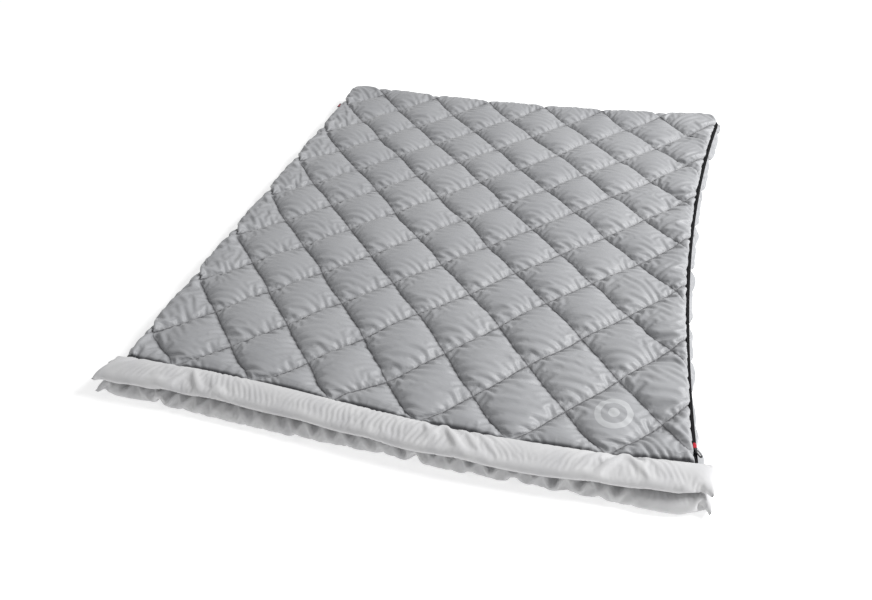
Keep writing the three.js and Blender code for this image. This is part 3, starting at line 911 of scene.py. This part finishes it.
def liner_cloth(name, quilted):
    """Brushed cloth: pale, matt, with a soft nap, and quilting seams where it has them."""
    g = Graph(name, (0.5, 0.5, 0.51), 0.95, Sheen_Weight=0.5, Sheen_Roughness=0.6)
    a, b, _ = g.cloth()
    nap = g.noise(g.join(g.times(a, 900.0), g.times(b, 450.0)), 1.0, 3.0, 0.6)
    patch = g.noise(g.join(a, b), 16.0, 3.0)
    cloth = g.mix(g.ramp(patch, 0.3, 0.7), (0.49, 0.49, 0.5), (0.54, 0.54, 0.545))
    fold = g.noise(g.join(g.times(a, 45.0), g.times(b, 9.0)), 1.0, 2.0)
    height = g.add(g.times(nap, 0.00012), g.times(fold, 0.001))
    if quilted:
        far, along = seam_lines(g, a, b)
        seam = g.ramp(far, 0.0006, 0.0024, 1.0, 0.0)
        cloth = g.mix(g.times(seam, stitches(g, along)), cloth, (0.2, 0.2, 0.21))
        height = g.add(height, g.times(seam, -0.001))
    g.set("Base Color", cloth)
    g.bump(height)
    return g.material


def piping_cloth():
    """The shell's cloth on the bias, over a cord."""
    g = Graph("piping_cloth", (0.27, 0.27, 0.285), 0.5, Sheen_Weight=0.2, Sheen_Roughness=0.4)
    a, b, _ = g.cloth()
    patch = g.noise(g.join(a, b), 40.0)
    g.set("Base Color", g.mix(patch, (0.24, 0.24, 0.255), (0.3, 0.3, 0.315)))
    pucker = g.noise(g.join(g.times(a, 120.0), g.times(b, 260.0)), 1.0)
    g.bump(g.add(g.times(pucker, 0.0007), g.times(weave(g, a, b, 0.0006), 0.00002)))
    return g.material


def tape_cloth():
    """Woven zip tape: black, ribbed across."""
    g = Graph("tape_cloth", (0.008, 0.008, 0.009), 0.85, Specular_IOR_Level=0.2)
    x, y, _ = g.split(g.place())
    worn = g.noise(g.place(), 60.0)
    g.set("Base Color", g.mix(worn, (0.006, 0.006, 0.007), (0.011, 0.011, 0.012)))
    g.bump(g.times(weave(g, x, y, 0.0009), 0.00012))
    return g.material


def hard(name, dark, light, roughness, grain, depth, **sockets):
    """A moulded or cast part: a faint mottle and a fine grain."""
    g = Graph(name, light, roughness, **sockets)
    g.set("Base Color", g.mix(g.noise(g.place(), 300.0), dark, light))
    g.set("Roughness", g.ramp(g.noise(g.place(), 900.0), 0.3, 0.7, roughness - 0.06, roughness + 0.06))
    g.bump(g.times(g.noise(g.place(), grain), depth))
    return g.material


LABEL_WIDE = 0.038
LABEL_END = 0.18  # the share of the label at each end that is woven dark
LABEL_SKIN = 0.0003  # the room for half the label's thickness


def label_cloth():
    """A woven label with no lettering: a red field between dark ends, with satin ribs."""
    g = Graph("label_cloth", (0.45, 0.07, 0.1), 0.6, Sheen_Weight=0.2)
    a, b, _ = g.cloth()
    along = g.times(b, 1 / LABEL_WIDE)
    end = g.math("ABSOLUTE", g.less(along, 0.5))
    dark = g.ramp(end, 0.5 - LABEL_END, 0.5 - LABEL_END + 0.02)
    rib = g.math("SINE", g.times(a, 2 * math.pi / 0.0008))
    red = g.mix(g.ramp(rib, -1, 1), (0.4, 0.05, 0.08), (0.55, 0.12, 0.15))
    g.set("Base Color", g.mix(dark, red, (0.03, 0.03, 0.035)))
    g.bump(g.times(rib, 0.00005))
    return g.material


# ---- small parts ----


def piping(material):
    """The side seam's piping, a little puckered by its stitches, with its ends tucked in."""
    low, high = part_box("side_seam_piping")
    radius, sides, rings = (high.x - low.x) / 2, 14, 700
    y = np.linspace(low.y, high.y, rings)
    turn = np.linspace(0, 2 * math.pi, sides, endpoint=False)[:, None]
    pucker, wide, seed = 0.07, 0.007, 81
    thick = radius * (1 - pucker + pucker * noise(y + 0 * turn, 0.004 * turn, wide, seed))
    end = np.minimum(y - low.y, high.y - y) / radius
    thick = thick * np.sqrt(np.clip(1 - (1 - np.clip(end, 0, 1)) ** 2, 0, 1))
    points = np.stack([SEAM_X + thick * np.cos(turn), y + 0 * turn, SEAM_Z + thick * np.sin(turn)])
    uv = np.stack([radius * turn + 0 * y, y + 0 * turn], -1)
    quads = grid_quads(sides, rings, closed=True)
    return mesh_piece("side_seam_piping_cloth", points, quads, uv, material)


def label(material):
    """The side label: a woven ribbon folded in two, its cut ends in the seam."""
    low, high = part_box("side_label")
    reach, wide = high.x - low.x, high.y - low.y
    half = (high.z - low.z) / 2 - LABEL_SKIN
    out = reach - half - LABEL_SKIN
    turn = np.linspace(-math.pi / 2, math.pi / 2, 9)
    flat = np.linspace(0, 1, 14)[:, None]
    under = np.concatenate([flat * out, -half + 0 * flat], 1)
    fold = np.stack([out + half * np.cos(turn), half * np.sin(turn)], 1)
    over = np.concatenate([flat[::-1] * out, half + 0 * flat], 1)
    rows, cols = 60, 24
    line, length = spaced(np.concatenate([under, fold[1:-1], over]), rows)
    y = np.linspace(low.y + 0.0002, high.y - 0.0002, cols)
    x = high.x - line[:, :1] + 0 * y
    z = (low.z + high.z) / 2 + line[:, 1:] + 0.0001 * np.sin(y * 160) * np.ones((rows, 1))
    points = np.stack([x, y + 0 * x, z])
    uv = np.stack([np.linspace(0, length, rows)[:, None] + 0 * y, y - low.y + 0 * x], -1)
    piece = mesh_piece("side_label_cloth", points, grid_quads(rows, cols), uv, material)
    cloth = piece.modifiers.new("cloth", "SOLIDIFY")
    cloth.thickness = 0.00035
    cloth.offset = 0
    return piece, (length, wide)


COIL = dict(pitch=0.0024, wire=0.00036, wire_sides=4, head=-0.8625, end_x=-0.745, middle=0.05)
# one tooth as (distance from the zip line, height above the coil's middle)
TOOTH = ((0.0031, 0.0006), (0.0009, 0.00068), (-0.00035, 0.0), (0.0009, -0.00068), (0.0031, -0.0006))


def coil(name, side, material):
    """One coil of the zip: a loop of nylon wire for each tooth. side is 1 on the lower tape and -1
    on the upper one, whose teeth stand between the others."""
    share = (ZIP_CORNER[0] - COIL["end_x"]) / (ZIP_CORNER[0] - ZIP_END[0])
    line, _ = zip_line(COIL["head"], share, 0.002)
    length = spaced(line, 2)[1]
    count = int(length / COIL["pitch"])
    path = spaced(line, 2 * count)[0][(0 if side > 0 else 1) :: 2]
    normal = outward(path)
    along = np.stack([-normal[:, 1], normal[:, 0]], 1)
    tooth = np.array(TOOTH)
    steps, sides, wire = len(tooth), COIL["wire_sides"], COIL["wire"]
    way = np.roll(tooth, -1, 0) - np.roll(tooth, 1, 0)
    way /= np.linalg.norm(way, axis=1, keepdims=True)
    turn = np.arange(sides) * 2 * math.pi / sides + math.pi / sides
    # a ring of points round each of the tooth's points: across the wire, and along the zip
    off = tooth[:, None, 0] + way[:, None, 1] * wire * np.cos(turn)
    up = tooth[:, None, 1] - way[:, None, 0] * wire * np.cos(turn)
    ahead = wire * np.sin(turn) + 0 * off
    x, y = [
        path[:, k, None, None] + side * off * normal[:, k, None, None] + ahead * along[:, k, None, None]
        for k in (0, 1)
    ]
    z = COIL["middle"] + up + 0 * x
    ring, corner = np.mgrid[0:steps, 0:sides]
    next_ring, next_corner = (ring + 1) % steps, (corner + 1) % sides
    corners = ((ring, corner), (ring, next_corner), (next_ring, next_corner), (next_ring, corner))
    quads = np.stack([(a * sides + b).ravel() for a, b in corners], 1)
    quads = (quads[None] + sides * steps * np.arange(count)[:, None, None]).reshape(-1, 4)
    points = np.stack([x, y, z]).reshape(3, 1, -1)
    uv = np.stack([x, y], -1).reshape(1, -1, 2)
    return mesh_piece(name, points, quads, uv, material, flip=side > 0)


def bevelled(node, name, width, material):
    """A part of the model with its edges rounded."""
    mesh = bpy.data.meshes.new(name)
    form = bmesh.new()
    form.from_mesh(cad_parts[node].data)
    bmesh.ops.remove_doubles(form, verts=form.verts, dist=1e-6)
    bmesh.ops.dissolve_limit(form, angle_limit=0.02, verts=form.verts, edges=form.edges)
    form.to_mesh(mesh)
    form.free()
    mesh.materials.append(material)
    for polygon in mesh.polygons:
        polygon.use_smooth = True
        polygon.material_index = 0
    piece = placed(name, mesh)
    edges = piece.modifiers.new("edges", "BEVEL")
    edges.width = width
    edges.segments = 3
    edges.limit_method = "ANGLE"
    edges.angle_limit = 0.5
    edges.harden_normals = True
    return piece


# ---- camera, floor and light ----

CAMERA = dict(
    place=(0.616, -2.349, 1.62),
    right=(0.9614, 0.2725, -0.0393),
    ahead=(-0.2389, 0.7548, -0.6109),
    lens=34.13,
    sensor=36.0,
)


def camera():
    """The camera in front of the head end, right of the middle, looks down on the bag."""
    data = bpy.data.cameras.new("camera")
    data.lens = CAMERA["lens"]
    data.sensor_width = CAMERA["sensor"]
    piece = placed("camera", data)
    right = Vector(CAMERA["right"]).normalized()
    ahead = Vector(CAMERA["ahead"]).normalized()
    up = right.cross(ahead).normalized()
    right = ahead.cross(up)
    turn = Matrix((right, up, -ahead)).transposed().to_4x4()
    piece.matrix_world = Matrix.Translation(CAMERA["place"]) @ turn
    bpy.context.scene.camera = piece


def floor(size):
    """A plain pale floor, so large that its corners don't show."""
    mesh = bpy.data.meshes.new("floor")
    corners = [(-size, -size, 0), (size, -size, 0), (size, size, 0), (-size, size, 0)]
    mesh.from_pydata(corners, [], [(0, 1, 2, 3)])
    g = Graph("floor", (0.85, 0.85, 0.85), 0.9, Emission_Strength=0.46)
    g.set("Emission Color", (1, 1, 1, 1))
    g.set("Base Color", g.mix(g.noise(g.place(), 0.8), (0.84, 0.84, 0.84), (0.86, 0.86, 0.86)))
    mesh.materials.append(g.material)
    placed("floor", mesh)


def light():
    """Even light from all sides, and one large lamp to the right of the bag."""
    world = bpy.data.worlds.new("studio")
    world.use_nodes = True
    background = world.node_tree.nodes["Background"]
    background.inputs["Color"].default_value = (1, 1, 1, 1)
    background.inputs["Strength"].default_value = 0.5
    bpy.context.scene.world = world
    bpy.context.scene.view_settings.view_transform = "Standard"
    data = bpy.data.lights.new("key", "AREA")
    data.shape = "SQUARE"
    data.size = 2.4
    data.energy = 350
    piece = placed("key", data)
    piece.location = (4.3, 0.6, 3.6)
    piece.rotation_mode = "QUATERNION"
    piece.rotation_quaternion = (-piece.location).to_track_quat("-Z", "Y")


# ---- build ----


def stands_for(piece, body, slot, *nodes):
    """The piece rides on a body and stands for the model's nodes, which it hides; slot is not used."""
    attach(piece, body)
    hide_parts(*nodes)


def settled_sheets():
    """The four quilted sheets and the two hems, settled side by side."""
    jobs = [(quilt, spec) for spec in (UPPER_SHELL, LOWER_SHELL, UPPER_LINER, LOWER_LINER)]
    jobs += [(hem, spec) for spec in (UPPER_HEM, LOWER_HEM)]
    with ThreadPoolExecutor(4) as pool:
        return list(pool.map(lambda job: job[0](job[1]), jobs))


def quilts(shells, liners):
    """Each quilt's shell and liner."""
    satin, brushed = shell_cloth(), liner_cloth("quilted_liner_cloth", True)
    for level, sheet, flip in zip(("upper", "lower"), shells, (False, True)):
        piece = mesh_piece(f"{level}_shell_cloth", *sheet, satin, flip=flip)
        stands_for(piece, f"{level}_quilt", "shell_cloth", f"{level}_shell", f"{level}_fill")
    for level, sheet, flip in zip(("upper", "lower"), liners, (True, False)):
        piece = mesh_piece(f"{level}_liner_cloth", *sheet, brushed, flip=flip)
        stands_for(piece, f"{level}_quilt", "liner_cloth", f"{level}_liner")


def hem_piece(level, part, points, quads, uv, material):
    piece = mesh_piece(f"{level}_{part}_cloth", points, quads, uv, material, flip=True)
    stands_for(piece, f"{level}_quilt", "liner_cloth", f"{level}_{part}")
    return piece


def hems(sheets, material):
    """The hems, each cut at the side seam, so that its end can be squeezed as the bag opens."""
    for level, spec, (points, uv) in zip(("upper", "lower"), (UPPER_HEM, LOWER_HEM), sheets):
        quads = grid_quads(*points.shape[1:], CORNER_CELLS, None)
        hem_piece(level, "hem_band", points, quads, uv, material)
        points, uv = closed_behind(points, uv)
        quads = grid_quads(*points.shape[1:], 0, CORNER_CELLS + 1)
        piece = hem_piece(level, "hem_corner", points, quads, uv, material)
        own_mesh(piece)


def tube_piece(material):
    """The padded tube behind the side zip."""
    points, uv = draft_tube(DRAFT_TUBE)
    piece = mesh_piece("draft_tube_cloth", points, grid_quads(*points.shape[1:]), uv, material)
    stands_for(piece, "upper_quilt", "liner_cloth", "draft_tube")


def side_pieces():
    """The piping along the side seam, and the label in it."""
    piece = piping(piping_cloth())
    stands_for(piece, "lower_quilt", "piping", "side_seam_piping")
    piece, flat = label(label_cloth())
    stands_for(piece, "lower_quilt", "label", "side_label")
    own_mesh(piece)


def zip_pieces():
    """The zip: its tapes, its coils and the metal at their ends."""
    tape = tape_cloth()
    for node in ("lower_zip_tape", "upper_zip_tape"):
        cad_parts[node].material_slots[0].material = tape
    nylon = hard("zip_nylon", (0.01, 0.01, 0.011), (0.018, 0.018, 0.02), 0.4, 900.0, 0.00002)
    for level, side in (("lower", 1), ("upper", -1)):
        piece = coil(f"{level}_zip_teeth", side, nylon)
        stands_for(piece, f"{level}_quilt", "zip_coil", f"{level}_zip_coil")
    metal = hard(
        "zip_metal", (0.03, 0.03, 0.033), (0.045, 0.045, 0.05), 0.34, 700.0, 0.00002, Metallic=0.85
    )
    ends = {
        "lower_top_stop": "lower_quilt",
        "zip_bottom_box": "lower_quilt",
        "upper_top_stop": "upper_quilt",
        "zip_insertion_pin": "upper_quilt",
    }
    for node, body in ends.items():
        piece = bevelled(node, f"{node}_metal", 0.0004, metal)
        stands_for(piece, body, "zip_metal", node)
    return metal


def slider_pieces(metal):
    """The slider with its red cover, and the pull on its pin."""
    red = hard(
        "slider_red", (0.42, 0.008, 0.02), (0.52, 0.012, 0.03), 0.32, 500.0, 0.00003, Coat_Weight=0.3
    )
    black = hard("pull_black", (0.012, 0.012, 0.013), (0.02, 0.02, 0.022), 0.45, 800.0, 0.00004)
    pale = hard("pull_pale", (0.5, 0.5, 0.5), (0.6, 0.6, 0.6), 0.45, 600.0, 0.00002)
    rows = (
        ("slider_body", "zip_slider", "zip_metal", 0.00035, metal),
        ("slider_plough", "zip_slider", "slider_plastic", 0.0012, red),
        ("pull_pin", "zip_slider", "zip_metal", 0.0002, metal),
        ("pull_tab", "zip_pull", "pull_plastic", 0.0003, black),
        ("pull_insert", "zip_pull", "pull_insert", 0.0002, pale),
    )
    for node, body, slot, width, material in rows:
        stands_for(bevelled(node, f"{node}_part", width, material), body, slot, node)


sheets = settled_sheets()
quilts(sheets[:2], sheets[2:4])
hem_cloth = liner_cloth("liner_cloth", False)
hems(sheets[4:], hem_cloth)
tube_piece(hem_cloth)
side_pieces()
slider_pieces(zip_pieces())

camera()
floor(200.0)
light()
